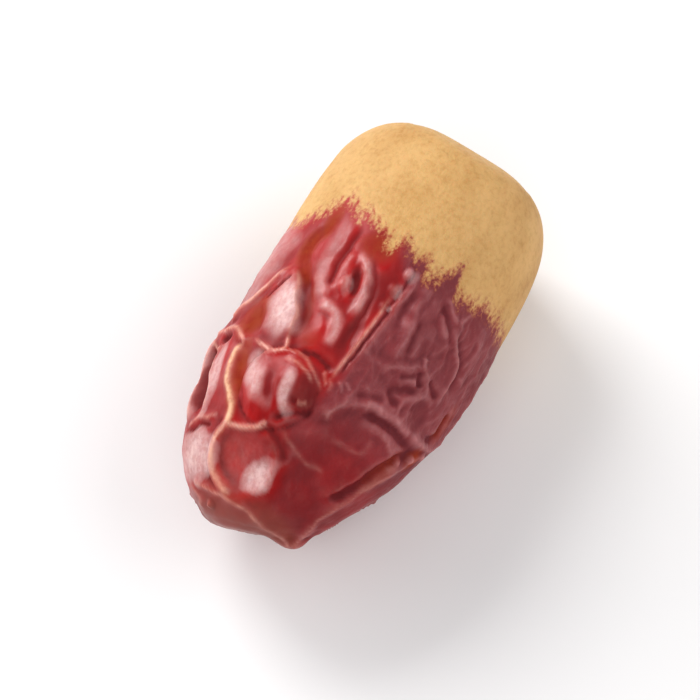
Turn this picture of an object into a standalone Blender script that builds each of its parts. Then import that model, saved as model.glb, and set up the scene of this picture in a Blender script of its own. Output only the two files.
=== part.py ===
"""A sagai date, whole, lying on its side: smooth at the stem end, wrinkled from there to the tip.

The fruit's axis runs along X, with the tip at -X and the stem end at +X. +Z is up, and the origin is on the surface
that the fruit lies on, under the middle of its box. Sizes are in millimetres, and MM turns them into metres.

A place on the skin is (along, round): millimetres along the axis from the tip, and degrees round it from the top,
positive towards -Y.
"""

import math

import bmesh
import bpy
import numpy as np
from mathutils import Vector, noise

MM = 0.001

# The whole fruit
BELLY_RADIUS = 10.65
AXIS_HEIGHT = 10.2  # less than the belly's radius, so the underside is pressed flat where it lies
MIDDLE = (19.02, -0.04)  # the box's middle: along the axis from the tip, and across from the axis
SQUARES = 30  # along each side of the six patches that cover the fruit
EVENING = 0.4  # how far each point moves towards the middle of its neighbours once the relief is on

# The outline from the tip over the belly and the shoulder into the stem's recess, as (along, out from the axis).
# The tip is a quarter ellipse.
TIP_REACH = 17.0
TIP_STEPS = 40
SHOULDER = (
    (TIP_REACH, BELLY_RADIUS),
    (22.5, BELLY_RADIUS),
    (27.5, 10.55),
    (31.7, 10.35),
    (34.8, 9.8),
    (37.0, 8.7),
    (38.1, 7.3),
    (38.5, 6.1),
    (38.2, 5.1),
    (36.9, 4.4),
    (35.7, 4.0),
    (35.3, 3.3),
    (35.7, 2.6),
    (36.4, 1.9),
    (36.7, 0.9),
    (36.7, 0.0),
)

# The stem's recess is out of round: flatter on one side, with three soft corners
RECESS_OUT_OF_ROUND = 0.12
RECESS_FLAT_SIDE = 60.0
RECESS_CORNERS = 3
RECESS_CORNER_SHARE = 0.4
RECESS_EDGE = (-1.0, 1.5)  # where this starts and is whole, along the outline from the rim

# The tip bends towards +Y and is drawn out, both fading along the axis from the tip
TIP_SWING = 0.9
SWING_FROM = 15.0
TIP_PUSH = 0.85
PUSH_FROM = 7.0

# Where the wrinkled skin ends and the smooth stem end starts
SMOOTH_FROM = 26.0
SMOOTH_FADE = 3.0

# Flats that were pressed into the fruit, as (along, round, depth, softness of the edge)
FLATS = (
    (5.5, 36, 0.55, 0.25),
    (6.6, 112, 1.05, 0.25),
    (13.1, 105, 0.8, 0.25),
    (0.9, 150, 1.4, 0.4),
    (15.5, 62, 0.3, 0.25),
    (20.0, -92, 0.5, 0.5),
    (9.0, 160, 0.5, 0.25),
    (20.0, -140, 0.5, 0.25),
    (14.0, 128, 0.4, 0.25),
    (37.9, 12, 0.5, 0.5),
)
FLAT_LEAST = 0.125  # what is less than this share of the edge's softness past a flat is left alone

# Blisters and dents, as (along, round, reach along, reach round, turn, height, softness of the edge)
SWELLS = (
    # The bulges down the left, and the dish and the two-lobed blister beside them
    (13.3, -84, 3.6, 3.2, 0, 0.7, 1.5),
    (4.6, -84, 6.5, 5.0, 0, 0.75, 2.0),
    (3.6, -14, 3.0, 2.9, 0, -0.9, 1.0),
    (9.4, -23, 3.1, 1.7, 0, 0.85, 0.7),
    (9.9, -2, 3.0, 1.9, 0, 0.8, 0.7),
    # The long blister and the hollow beside it
    (16.2, -28, 4.3, 1.7, 22, 0.75, 0.5),
    (14.6, -42, 1.9, 1.1, 20, -0.5, 1.2),
    (12.9, -56, 0.8, 1.2, 0, -0.4, 1.0),
    (20.5, -56, 5.5, 2.4, 0, 0.35, 1.5),
    # In the curl of the winding fold, and along the leaf
    (15.6, -7, 1.3, 0.9, 0, -0.4, 1.0),
    (20.6, -4, 1.6, 0.8, 15, -0.4, 1.0),
    # The dusty side
    (21.0, 45, 3.0, 1.6, -20, 0.3, 1.5),
    (19.0, 28, 3.6, 1.6, 0, 0.3, 1.5),
    (14.4, 58, 1.6, 1.5, 0, -0.3, 1.0),
    # The corner where the tip's facets meet
    (1.6, 100, 1.8, 1.5, 0, 0.9, 1.5),
)

# Raised folds of skin, as (height, reach to each side, places along the crest)
FOLDS = (
    # The bright fold down the left of the two-lobed blister, on round the dish, and the fold between those two
    (
        0.55,
        0.6,
        ((12.5, -39), (11.3, -42), (10.2, -43), (9.1, -41),
         (8.2, -36), (7.3, -32), (6.3, -31), (5.1, -37)),
    ),
    (0.4, 0.6, ((6.2, -31), (5.1, -37), (4.4, -40), (3.4, -42), (2.5, -39), (1.8, -30), (1.6, -15))),
    (0.35, 0.5, ((5.6, -31), (5.7, -22), (5.9, -15), (6.3, -10), (6.8, -6))),
    # The hook at its top, and the edge outside it
    (0.4, 0.5, ((12.8, -78), (13.8, -71), (13.6, -60), (13.7, -50), (13.2, -43), (12.5, -39))),
    (0.45, 0.6, ((14.8, -80), (13.4, -79), (12.2, -80), (10.6, -80), (8.8, -80), (7.2, -80))),
    # The two-lobed blister's upper edge
    (0.35, 0.5, ((12.4, -30), (12.1, -24), (11.9, -18), (12.1, -12), (12.6, -3), (11.9, 5), (11.3, 8))),
    # The long blister's edges
    (
        0.4,
        0.5,
        ((20.0, -37), (19.0, -30), (17.9, -24), (16.7, -22),
         (15.8, -19), (15.1, -17), (13.9, -18), (12.9, -17)),
    ),
    (0.4, 0.5, ((13.8, -18), (12.7, -17), (12.4, -20), (12.5, -26), (12.8, -35))),
    (0.45, 0.5, ((20.4, -36), (19.3, -38), (18.1, -41), (17.1, -44), (16.1, -47), (15.0, -50), (14.0, -51))),
    # The winding fold from the smooth end, and its curl
    (
        0.55,
        0.6,
        ((27.8, -21), (26.4, -22), (24.6, -21), (22.8, -21),
         (21.2, -20), (19.6, -19), (18.3, -17), (17.3, -16)),
    ),
    (
        0.55,
        0.55,
        ((16.9, -15), (17.6, -14), (17.8, -10), (17.4, -6),
         (16.6, -3), (15.6, 0), (14.5, 0), (13.4, -1)),
    ),
    # The leaf beside it
    (0.5, 0.5, ((22.9, -13), (22.9, -8), (22.2, -2), (20.9, 1), (19.6, 3), (18.3, 3), (16.8, 3))),
    (0.4, 0.5, ((22.9, -12), (21.6, -11.5), (20.2, -10), (19.1, -8), (18.4, -5))),
    # The long straight fold, drawn double
    (0.4, 0.5, ((23.6, 15), (21.5, 13), (20.0, 13), (18.8, 12), (16.0, 12), (13.8, 11), (11.8, 10))),
    (0.35, 0.5, ((23.6, 20), (20.8, 18), (18.7, 17.5), (16.2, 16.5), (14.6, 15))),
    # The dusty side's long folds
    (0.4, 0.6, ((24.2, 28), (23.0, 28), (21.7, 26), (20.2, 27), (18.6, 28), (17.0, 29), (15.6, 31))),
    (0.35, 0.6, ((24.0, 31), (22.0, 33), (20.2, 36), (18.3, 35.5), (16.8, 36))),
    (0.4, 0.5, ((23.9, 36), (23.2, 42.5), (22.3, 48))),
    (0.4, 0.5, ((24.5, 53), (23.4, 50.5), (22.3, 48.5))),
    (0.5, 0.5, ((22.4, 48), (21.6, 50), (20.9, 55), (20.0, 61), (18.6, 63.5), (17.0, 64), (16.0, 66))),
    (0.3, 0.6, ((24.9, 64), (23.5, 67), (21.9, 69), (20.3, 71), (18.8, 72))),
    # The forked fold above the shelf
    (0.35, 0.5, ((14.5, 28), (15.2, 29), (15.7, 30), (16.2, 34), (16.6, 38), (17.3, 41), (17.2, 46))),
    (0.4, 0.45, ((17.8, 43), (17.1, 49), (16.1, 54), (15.0, 50), (14.3, 45), (13.5, 45), (12.6, 46))),
    # The shelf across the fruit, and the right edge
    (
        0.55,
        0.6,
        ((8.7, 19), (9.8, 18), (10.7, 21), (11.3, 25), (11.9, 32),
         (12.2, 37), (12.5, 46), (12.7, 57), (12.9, 66)),
    ),
    (0.45, 0.6, ((26.0, 90), (22.0, 91), (19.0, 91), (16.5, 91), (14.8, 89), (13.5, 82), (12.9, 70))),
    # The dish's edge, and the edges where the tip's facets meet
    (0.3, 0.6, ((6.6, -9), (6.4, -4), (5.7, 3), (4.8, 9), (3.8, 13), (2.9, 13), (2.2, 7), (1.7, -5))),
    (0.3, 0.5, ((1.6, -62), (1.4, -45), (1.2, -25), (1.1, -8), (1.0, 15), (1.1, 45), (1.3, 75), (1.5, 100))),
    (
        0.4,
        0.55,
        ((12.9, 80), (11.6, 73), (10.8, 70), (9.7, 66), (7.9, 64),
         (6.0, 65), (3.8, 67), (2.8, 76), (1.5, 100)),
    ),
)
CREST = 0.45  # how round a fold's crest is
TAPER = 0.12  # the part of a fold's length over which each end runs out

# Narrow valleys, as (depth, reach to each side, places along the bottom)
CREASES = (
    # Beside the winding fold, the leaf and the long straight fold
    (
        0.5,
        0.5,
        ((27.2, -31), (25.6, -28), (24.3, -30), (23.4, -35),
         (21.8, -34), (20.3, -30), (18.9, -23), (16.4, -16)),
    ),
    (0.35, 0.5, ((27.4, -14), (25.7, -13), (23.9, -13), (22.3, -14), (20.8, -14), (19.5, -13))),
    (0.3, 0.5, ((23.2, -3), (22.2, 3), (20.9, 6), (19.3, 8), (17.4, 8), (15.8, 7))),
    (0.35, 0.45, ((24.5, 18), (21.7, 16), (19.1, 15.5), (16.6, 14), (14.2, 12.5), (12.1, 11))),
    # Round the two-lobed blister and between its lobes, and along the outer strip
    (0.5, 0.5, ((11.6, -16), (10.5, -13), (9.5, -12), (8.5, -11), (7.4, -10))),
    (0.35, 0.5, ((6.9, -6), (7.7, -2), (8.3, 3), (8.6, 7), (9.2, 11))),
    (0.35, 0.5, ((11.3, -38), (10.0, -38), (8.7, -32), (7.6, -27), (6.5, -26))),
    (0.45, 0.5, ((12.4, -70), (11.3, -72), (9.8, -70), (8.2, -66), (6.7, -65))),
    # The dusty side, the shelf and the right edge
    (0.35, 0.5, ((23.2, 34), (22.8, 39), (22.0, 43.5), (21.2, 48), (20.4, 52))),
    (0.35, 0.5, ((22.3, 52), (21.3, 56), (20.8, 62), (19.8, 66), (18.6, 67), (17.3, 67))),
    (0.5, 0.5, ((15.9, 49), (15.3, 44.5), (14.8, 41), (14.1, 37.5), (13.6, 41), (13.0, 43))),
    (0.4, 0.55, ((11.0, 30), (11.4, 37), (11.7, 43), (11.8, 51), (11.8, 60), (12.0, 70))),
    (0.4, 0.5, ((17.2, 76), (15.8, 79), (14.4, 78), (13.4, 70))),
    # Beside the dish, and above the tip's long edge
    (0.4, 0.5, ((6.7, -3), (5.9, 5), (5.2, 13))),
    (0.4, 0.5, ((11.0, 66), (9.8, 62), (8.3, 58), (6.8, 57), (6.0, 58), (4.8, 57), (3.9, 54))),
)

# The net of folds over the rest of the wrinkled skin: raised along the borders of long cells, whose places are bent
NET_SEED = 7
NET_HEIGHT = 1.15
NET_MEAN = 0.3  # the share of the height that the net has on average, taken off again
NET_ALONG = 7.5
NET_ROUND = 3.6
NET_FOLD = 0.24
NET_BEND = 1.6
NET_BENDS_PER_MM = 0.16
NET_LEVEL = 0.7
NET_UNEVEN = 0.5
NET_BLOTS_PER_MM = 0.3
DRAWN_SIDE = (-100.0, 118.0)  # the side that FOLDS covers, where the net is faint
DRAWN_FADE = 18.0
NET_BEHIND_FOLDS = 0.1
NET_FROM_TIP = (0.5, 4.0)  # where the net starts and is whole, along the axis from the tip

SUNK = 0.12  # how far the wrinkled skin lies under the outline before the relief is added
UNDERSIDE_FADE = 2.5  # the height over which the relief dies away above the flat that the fruit lies on

SKIN_COLOUR = (0.30, 0.035, 0.03, 1.0)
SKIN_ROUGHNESS = 0.3


def clear_scene():
    """Remove every object, so that the part is all there is."""
    for thing in list(bpy.data.objects):
        bpy.data.objects.remove(thing, do_unlink=True)


def smooth_line(places, steps=8):
    """A smooth line through the places, as an array with steps points from each place to the next."""
    p = np.array(places, float)
    p = np.vstack([2 * p[0] - p[1], p, 2 * p[-1] - p[-2]])
    t = np.linspace(0, 1, steps, endpoint=False)[:, None]
    runs = []
    for a, b, c, d in zip(p, p[1:], p[2:], p[3:]):
        bend = (2 * a - 5 * b + 4 * c - d) * t**2 + (3 * b - a - 3 * c + d) * t**3
        runs.append(0.5 * (2 * b + (c - a) * t + bend))
    return np.vstack(runs + [p[-2:-1]])


def fade(value, start, end):
    """0 up to start and 1 from end on, with a smooth change between them."""
    t = np.clip((np.asarray(value, float) - start) / (end - start), 0, 1)
    return t * t * (3 - 2 * t)


class Outline:
    """The fruit's turned outline: where a point at a share of the way from tip to stem is, and which way it faces."""

    def __init__(self):
        turn = np.linspace(0, math.pi / 2, TIP_STEPS, endpoint=False)
        tip = np.stack([TIP_REACH * (1 - np.cos(turn)), BELLY_RADIUS * np.sin(turn)], 1)
        self.line = np.vstack([tip, smooth_line(SHOULDER)])
        step = np.linalg.norm(np.diff(self.line, axis=0), axis=1)
        self.run = np.concatenate([[0], np.cumsum(step)])
        slope = np.gradient(self.line, self.run, axis=0)
        self.facing = np.stack([-slope[:, 1], slope[:, 0]], 1)
        self.rim = int(np.argmax(self.line[:, 0]))

    def at(self, run):
        """The place (along, out) and the outward direction at each run along the outline."""
        place = np.stack([np.interp(run, self.run, self.line[:, k]) for k in (0, 1)], -1)
        facing = np.stack([np.interp(run, self.run, self.facing[:, k]) for k in (0, 1)], -1)
        return place, facing / np.linalg.norm(facing, axis=-1, keepdims=True)

    def on_skin(self, places):
        """Points and directions, as arrays of XYZ about the axis, at (along, round) places on the outside."""
        along, around = np.array(places, float).T
        run = np.interp(along, self.line[: self.rim, 0], self.run[: self.rim])
        place, facing = self.at(run)
        return turned(place, np.radians(around)), turned(facing, np.radians(around))


def turned(pairs, angle):
    """Swing (along, out) pairs round the axis by an angle from the top, positive towards -Y."""
    along, out = pairs[..., 0], pairs[..., 1]
    return np.stack([along, -out * np.sin(angle), out * np.cos(angle)], -1)


def distance_to_line(points, line):
    """How far each point is from a line of points, and at which share of the line it is nearest."""
    best = np.full(len(points), 1e9)
    share = np.zeros(len(points))
    for k, (a, b) in enumerate(zip(line, line[1:])):
        leg = b - a
        t = np.clip((points - a) @ leg / (leg @ leg), 0, 1)
        gap = np.linalg.norm(points - a - t[:, None] * leg, axis=1)
        nearer = gap < best
        best[nearer] = gap[nearer]
        share[nearer] = (k + t[nearer]) / (len(line) - 1)
    return best, share


def raised(points, outline, height, reach, places):
    """The height of a fold of skin: a crest, with the skin drawn up to it from each side."""
    line, _ = outline.on_skin(smooth_line(places))
    gap, share = distance_to_line(points, line)
    ends = fade(share, 0, TAPER) * fade(1 - share, 0, TAPER)
    return height * np.exp(-(np.hypot(gap, CREST) - CREST) / reach) * ends


def sunk(points, outline, depth, reach, places):
    """The height of a crease: a valley with soft sides."""
    line, _ = outline.on_skin(smooth_line(places))
    gap, share = distance_to_line(points, line)
    ends = fade(share, 0, TAPER) * fade(1 - share, 0, TAPER)
    return -depth * np.exp(-((gap / reach) ** 2)) * ends


def swollen(points, outline, along, around, reach_along, reach_round, turn, height, softness):
    """The height of an oval blister, or of a dent where the height is negative."""
    centre, facing = outline.on_skin([(along, around)])
    across = np.cross(facing[0], (1.0, 0.0, 0.0))
    across /= np.linalg.norm(across)
    forward = np.cross(across, facing[0])
    offset = points - centre[0]
    turn = math.radians(turn)
    u = offset @ (math.cos(turn) * forward + math.sin(turn) * across) / reach_along
    v = offset @ (math.cos(turn) * across - math.sin(turn) * forward) / reach_round
    depth = offset @ facing[0] / (reach_along + reach_round)
    return height * np.clip(1 - u * u - v * v - depth * depth, 0, 1) ** softness


def press_flats(points, outline):
    """Push what stands out past each flat back to it."""
    pressed = points.copy()
    for along, around, depth, edge in FLATS:
        centre, facing = outline.on_skin([(along, around)])
        over = (points - centre[0]) @ facing[0] + depth
        over = 0.5 * (over + np.sqrt(over * over + edge * edge))
        pressed -= over[:, None] * facing[0] * (over > edge * FLAT_LEAST)[:, None]
    return pressed


def net_height(point):
    """The height of the irregular net of folds at a point."""
    place = point + noise.noise_vector(point * NET_BENDS_PER_MM) * NET_BEND
    cell = Vector((place.x / NET_ALONG, place.y / NET_ROUND, place.z / NET_ROUND))
    near = noise.voronoi(cell)[0]
    uneven = NET_LEVEL + NET_UNEVEN * noise.noise(point * NET_BLOTS_PER_MM)
    return NET_HEIGHT * uneven * math.exp(-(near[1] - near[0]) / NET_FOLD)


def relief(points, along, around, outline):
    """How far the skin stands out from the turned form at each point."""
    height = np.zeros(len(points))
    for fold in FOLDS:
        height = np.maximum(height, raised(points, outline, *fold))
    for crease in CREASES:
        height += sunk(points, outline, *crease)
    for swell in SWELLS:
        height += swollen(points, outline, *swell)
    low, high = DRAWN_SIDE
    drawn = fade(around, low - DRAWN_FADE, low) * fade(-around, -high - DRAWN_FADE, -high)
    strength = (1 - (1 - NET_BEHIND_FOLDS) * drawn) * fade(along, *NET_FROM_TIP)
    noise.seed_set(NET_SEED)
    net = np.array([net_height(Vector(p)) for p in points])
    height += (net - NET_HEIGHT * NET_MEAN) * strength - SUNK
    wrinkled = 1 - fade(along, SMOOTH_FROM - SMOOTH_FADE, SMOOTH_FROM + SMOOTH_FADE)
    above = fade(points[:, 2] + AXIS_HEIGHT, 0, UNDERSIDE_FADE)
    return height * wrinkled * above


def cube_ball(squares):
    """A ball of even squares: a cube cut into squares and blown up round."""
    ball = bmesh.new()
    bmesh.ops.create_cube(ball, size=2.0)
    bmesh.ops.subdivide_edges(ball, edges=ball.edges[:], cuts=squares - 1, use_grid_fill=True)
    for vert in ball.verts:
        vert.co = Vector([math.tan(c * math.pi / 4) for c in vert.co]).normalized()
    return ball


def recess_shape(run, around, outline):
    """How far the stem's recess is out of round, as a factor on the distance from the axis."""
    rim = outline.run[outline.rim]
    inside = fade(run, rim + RECESS_EDGE[0], rim + RECESS_EDGE[1])
    corners = RECESS_CORNER_SHARE * np.cos(np.radians(RECESS_CORNERS * around))
    lopsided = np.cos(np.radians(around - RECESS_FLAT_SIDE)) + corners
    return 1 + RECESS_OUT_OF_ROUND * lopsided * inside


def shape_fruit(ball):
    """Move the ball's points onto the outline, give them their relief, and lay the fruit on its flat."""
    outline = Outline()
    unit = np.array([vert.co for vert in ball.verts])
    run = np.arccos(np.clip(-unit[:, 0], -1, 1)) / math.pi * outline.run[-1]
    angle = np.arctan2(-unit[:, 1], unit[:, 2])
    around = np.degrees(angle)
    place, facing = outline.at(run)
    place[:, 1] *= recess_shape(run, around, outline)
    along = place[:, 0]
    points = turned(place, angle)
    height = relief(points, along, around, outline)
    skin = press_flats(points, outline) + turned(facing, angle) * height[:, None]
    skin[:, 1] += TIP_SWING * np.clip(1 - along / SWING_FROM, 0, 1) ** 2
    skin[:, 0] -= TIP_PUSH * np.clip(1 - along / PUSH_FROM, 0, 1)
    for vert, spot in zip(ball.verts, skin):
        vert.co = Vector(spot)
    bmesh.ops.smooth_vert(ball, verts=ball.verts, factor=EVENING, use_axis_x=True, use_axis_y=True, use_axis_z=True)
    for vert in ball.verts:
        spot = vert.co + Vector((-MIDDLE[0], -MIDDLE[1], AXIS_HEIGHT))
        spot.z = max(spot.z, 0.0)
        vert.co = spot * MM


def skin_material():
    """The skin's plain colour and gloss."""
    material = bpy.data.materials.new("date_skin")
    material.use_nodes = True
    shader = material.node_tree.nodes["Principled BSDF"]
    shader.inputs["Base Color"].default_value = SKIN_COLOUR
    shader.inputs["Roughness"].default_value = SKIN_ROUGHNESS
    shader.inputs["Metallic"].default_value = 0.0
    return material


def build_date(collection):
    """The whole fruit, as one closed body."""
    ball = cube_ball(SQUARES)
    shape_fruit(ball)
    bmesh.ops.recalc_face_normals(ball, faces=ball.faces)
    mesh = bpy.data.meshes.new("date")
    ball.to_mesh(mesh)
    ball.free()
    mesh.shade_smooth()
    mesh.materials.append(skin_material())
    collection.objects.link(bpy.data.objects.new("date", mesh))


def main():
    """Build the date in a collection of its own."""
    clear_scene()
    collection = bpy.data.collections.new("sagai_date")
    bpy.context.scene.collection.children.link(collection)
    build_date(collection)


main()
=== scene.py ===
"""The looks of the sagai date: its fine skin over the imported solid, its finish, and a plain soft studio.

The fruit's axis runs along X, with the tip at -X and the stem end at +X, and it lies on z = 0. Sizes of
the fruit are in millimetres, and MM turns them into metres. A place on the skin is (along, round):
millimetres along the axis from the tip, and degrees round it from the top, positive towards -Y.
"""

from __future__ import annotations

import logging
import math
from dataclasses import dataclass, field
from enum import Enum
from typing import Sequence

import bmesh
import bpy
import numpy as np
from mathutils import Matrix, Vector, noise


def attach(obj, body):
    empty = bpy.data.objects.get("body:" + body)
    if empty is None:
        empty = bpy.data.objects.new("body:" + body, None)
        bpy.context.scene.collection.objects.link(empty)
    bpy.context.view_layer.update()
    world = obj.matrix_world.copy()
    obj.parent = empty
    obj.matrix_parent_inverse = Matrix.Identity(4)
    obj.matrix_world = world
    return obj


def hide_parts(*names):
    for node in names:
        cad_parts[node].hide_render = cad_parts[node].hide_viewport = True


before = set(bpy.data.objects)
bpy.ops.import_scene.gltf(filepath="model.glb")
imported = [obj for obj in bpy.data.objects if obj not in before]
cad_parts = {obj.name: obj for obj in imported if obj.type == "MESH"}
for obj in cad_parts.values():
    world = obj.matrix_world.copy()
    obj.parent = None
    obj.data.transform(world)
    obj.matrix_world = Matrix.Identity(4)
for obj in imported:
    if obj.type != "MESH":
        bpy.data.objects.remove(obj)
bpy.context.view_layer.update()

MM = 0.001
LOG = logging.getLogger("sagai_date")

Pair = tuple[float, float]
Spot = tuple[float, float, float]
Colour = tuple[float, float, float]


class Mark(Enum):
    """The shares painted on the skin's points, which the finish reads as attributes."""

    TAN = "tan"
    # Painted highlight along folds and on raised crests
    PAINTED_HIGHLIGHT = "crest"
    # Painted shade in pits, creases and hollows
    PAINTED_SHADE = "painted_shade"
    DUSK = "dusk"
    AMBER = "amber"
    EARTH = "earth"
    FIBRE = "fibre"
    # Wax on the skin, and painted highlight on blisters, folds and the dish
    BLOOM_AND_HIGHLIGHT = "bloom_and_highlight"
    CREAM = "cream"
    SHEEN = "sheen"


def fade(value: np.ndarray | float, start: float, end: float) -> np.ndarray:
    """Turn values up to start into 0 and those from end on into 1, with a smooth step between."""
    share = np.clip((np.asarray(value, float) - start) / (end - start), 0, 1)
    return share * share * (3 - 2 * share)


def near_line(gap: np.ndarray, ends: np.ndarray, width: float) -> np.ndarray:
    """Give the share that is 1 on a stroke's line, gone about two widths from it, and faded at its ends."""
    return ends * np.exp(-((gap / width) ** 2))


def lift(values: np.ndarray, index: np.ndarray, new: np.ndarray) -> None:
    """Lift the values at the indices to the new ones where those are higher."""
    values[index] = np.maximum(values[index], new)


def highest(swells: Sequence[Swell], points: np.ndarray, outline: Outline) -> np.ndarray:
    """Find the highest of some swells at each point.

    Args:
        swells: The swells, of height or of colour.
        points: The points, about the axis.
        outline: The outline that the swells are on.

    Returns:
        The highest rise at each point, and 0 where there is none.
    """
    most = np.zeros(len(points))
    for swell in swells:
        most = np.maximum(most, swell.rise(points, outline))
    return most


def smooth_line(places: Sequence[Pair], steps: int = 8) -> np.ndarray:
    """Draw a smooth line through places.

    Args:
        places: The places that the line goes through.
        steps: How many points the line has from each place to the next.

    Returns:
        The line's points, one a row.
    """
    spots = np.array(places, float)
    spots = np.vstack([2 * spots[0] - spots[1], spots, 2 * spots[-1] - spots[-2]])
    t = np.linspace(0, 1, steps, endpoint=False)[:, None]
    runs = []
    for a, b, c, d in zip(spots, spots[1:], spots[2:], spots[3:]):
        bend = (2 * a - 5 * b + 4 * c - d) * t**2 + (3 * b - a - 3 * c + d) * t**3
        runs.append(0.5 * (2 * b + (c - a) * t + bend))
    return np.vstack(runs + [spots[-2:-1]])


def layered(points: np.ndarray, fineness: float, step: float, layers: int) -> np.ndarray:
    """Make noise at each point, in layers that are each finer than the one before by the step."""
    return np.array([noise.fractal(Vector(point) * fineness, 1.0, step, layers) for point in points])


def turned(pairs: np.ndarray, angle: np.ndarray) -> np.ndarray:
    """Turn rows of (along, out) into XYZ about the axis, at an angle from the top in radians."""
    along, out = pairs[..., 0], pairs[..., 1]
    return np.stack([along, -out * np.sin(angle), out * np.cos(angle)], -1)


@dataclass
class Outline:
    """The fruit's turned outline, from the tip over the belly and the shoulder into the stem's recess."""

    tip_reach: float = 17.0
    tip_points: int = 60
    belly_radius: float = 10.65
    shoulder: tuple[Pair, ...] = (
        (17.0, 10.65),
        (22.5, 10.65),
        (27.5, 10.55),
        (31.7, 10.35),
        (34.8, 9.8),
        (37.0, 8.7),
        (38.1, 7.3),
        (38.5, 6.1),
        (38.2, 5.1),
        (36.9, 4.4),
        (35.7, 4.0),
        (35.3, 3.3),
        (35.7, 2.6),
        (36.4, 1.9),
        (36.7, 0.9),
        (36.7, 0.0),
    )
    shoulder_steps: int = 12
    out_of_round: float = 0.12
    corners: float = 0.4
    flat_side: float = 60.0
    before_rim: float = 1.0
    past_rim: float = 1.5

    def __post_init__(self) -> None:
        """Work out the line, its length so far at each point, and which way it faces."""
        turn = np.linspace(0, math.pi / 2, self.tip_points, endpoint=False)
        tip = np.stack([self.tip_reach * (1 - np.cos(turn)), self.belly_radius * np.sin(turn)], 1)
        self.line = np.vstack([tip, smooth_line(self.shoulder, self.shoulder_steps)])
        step = np.linalg.norm(np.diff(self.line, axis=0), axis=1)
        self.run = np.concatenate([[0], np.cumsum(step)])
        slope = np.gradient(self.line, self.run, axis=0)
        self.facing = np.stack([-slope[:, 1], slope[:, 0]], 1)
        self.rim = int(np.argmax(self.line[:, 0]))

    def at(self, run: np.ndarray) -> tuple[np.ndarray, np.ndarray]:
        """Find places on the outline.

        Args:
            run: How far along the outline each place is.

        Returns:
            The places as (along, out) and their outward directions.
        """
        place = np.stack([np.interp(run, self.run, self.line[:, k]) for k in (0, 1)], -1)
        facing = np.stack([np.interp(run, self.run, self.facing[:, k]) for k in (0, 1)], -1)
        return place, facing / np.linalg.norm(facing, axis=-1, keepdims=True)

    def on_skin(self, places: np.ndarray) -> tuple[np.ndarray, np.ndarray]:
        """Find places on the fruit's outside.

        Args:
            places: (along, round), one a row.

        Returns:
            Their points and outward directions, as XYZ about the axis.
        """
        along, around = np.array(places, float).T
        run = np.interp(along, self.line[: self.rim, 0], self.run[: self.rim])
        place, facing = self.at(run)
        return turned(place, np.radians(around)), turned(facing, np.radians(around))

    def recess_shape(self, run: np.ndarray, around: np.ndarray) -> np.ndarray:
        """Work out how far the stem's recess is out of round.

        Args:
            run: How far along the outline each place is.
            around: Its angle round the axis, in degrees from the top.

        Returns:
            The factor on each place's distance from the axis.
        """
        rim = self.run[self.rim]
        inside = fade(run, rim - self.before_rim, rim + self.past_rim)
        three_cornered = self.corners * np.cos(np.radians(3 * around))
        lopsided = np.cos(np.radians(around - self.flat_side)) + three_cornered
        return 1 + self.out_of_round * lopsided * inside


@dataclass(frozen=True)
class Stroke:
    """A line drawn on the skin: a fold where its height is positive, and a crease where it is negative.

    crest is how round a fold's crest is, and broad the share of it that is a wide soft swelling. A fold
    leans to its left, seen from outside along its places, where lean is positive: that side is wider.
    flat is half the width of its level top or bottom. pale is how much painted highlight lies pink on its
    crest, cream how much the crest is turned cream-yellow, and bloom how much wax and painted highlight are
    on it. shade is how much painted shade darkens a crease to deep red. An even one keeps its line and
    height, and the others wander and wax and wane. taper is the
    share of its length over which each end fades. The last three are how far the soft swelling, a level
    fold and all that the stroke changes reach, as multiples of reach.
    """

    height: float
    reach: float
    places: tuple[Pair, ...]
    crest: float = 0.10
    broad: float = 0.5
    lean: float = 0.0
    pale: float = 0.0
    cream: float = 0.0
    flat: float = 0.0
    bloom_and_highlight: float = 0.0
    shade: float = 0.0
    even: bool = False
    taper: float = 0.2
    soft_reach: float = 2.4
    level_reach: float = 1.2
    whole_reach: float = 6.0

    def near(self, points: np.ndarray, outline: Outline) -> tuple[np.ndarray, np.ndarray, np.ndarray]:
        """Find the points that the stroke reaches.

        Args:
            points: The skin's points, each moved a little for strokes that wander.
            outline: The outline that the stroke is drawn on.

        Returns:
            The indices of the points, their distance from the stroke, negative on its right, and 1 along it
            fading to 0 at its ends.
        """
        line, _ = outline.on_skin(smooth_line(self.places))
        margin = self.whole_reach * self.reach
        low, high = line.min(0) - margin, line.max(0) + margin
        index = np.flatnonzero(np.all((points > low) & (points < high), axis=1))
        spots = points[index]
        gap = np.full(len(index), np.inf)
        share = np.zeros(len(index))
        for k, (a, b) in enumerate(zip(line, line[1:])):
            leg = b - a
            t = np.clip((spots - a) @ leg / (leg @ leg), 0, 1)
            offset = spots - a - t[:, None] * leg
            far = np.linalg.norm(offset, axis=1)
            left = np.cross((0.0, a[1], a[2]), leg)
            nearer = far < np.abs(gap)
            gap[nearer] = np.where(offset[nearer] @ left < 0, -far[nearer], far[nearer])
            share[nearer] = (k + t[nearer]) / (len(line) - 1)
        ends = fade(share, 0, self.taper) * fade(1 - share, 0, self.taper)
        return index, gap, ends

    def rise(self, gap: np.ndarray, ends: np.ndarray) -> np.ndarray:
        """Work out the skin's height near the stroke: drawn up to a crest, level, or soft down to a bottom.

        Args:
            gap: Each point's distance from the stroke, negative on its right.
            ends: 1 along it fading to 0 at its ends.

        Returns:
            The height that the stroke gives each point.
        """
        side = np.maximum(np.abs(gap) - self.flat, 0)
        if self.height < 0:
            return self.height * near_line(side, ends, self.reach)
        reach = self.reach * (1 + self.lean * np.sign(gap))
        if self.flat:
            level = self.flat + self.level_reach * reach
            return self.height * np.exp(-((np.abs(gap) / level) ** 4)) * ends
        sharp = np.exp(-(np.hypot(side, self.crest) - self.crest) / reach)
        soft = np.exp(-((side / (self.soft_reach * reach)) ** 2))
        return self.height * (sharp * (1 - self.broad) + soft * self.broad) * ends


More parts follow.
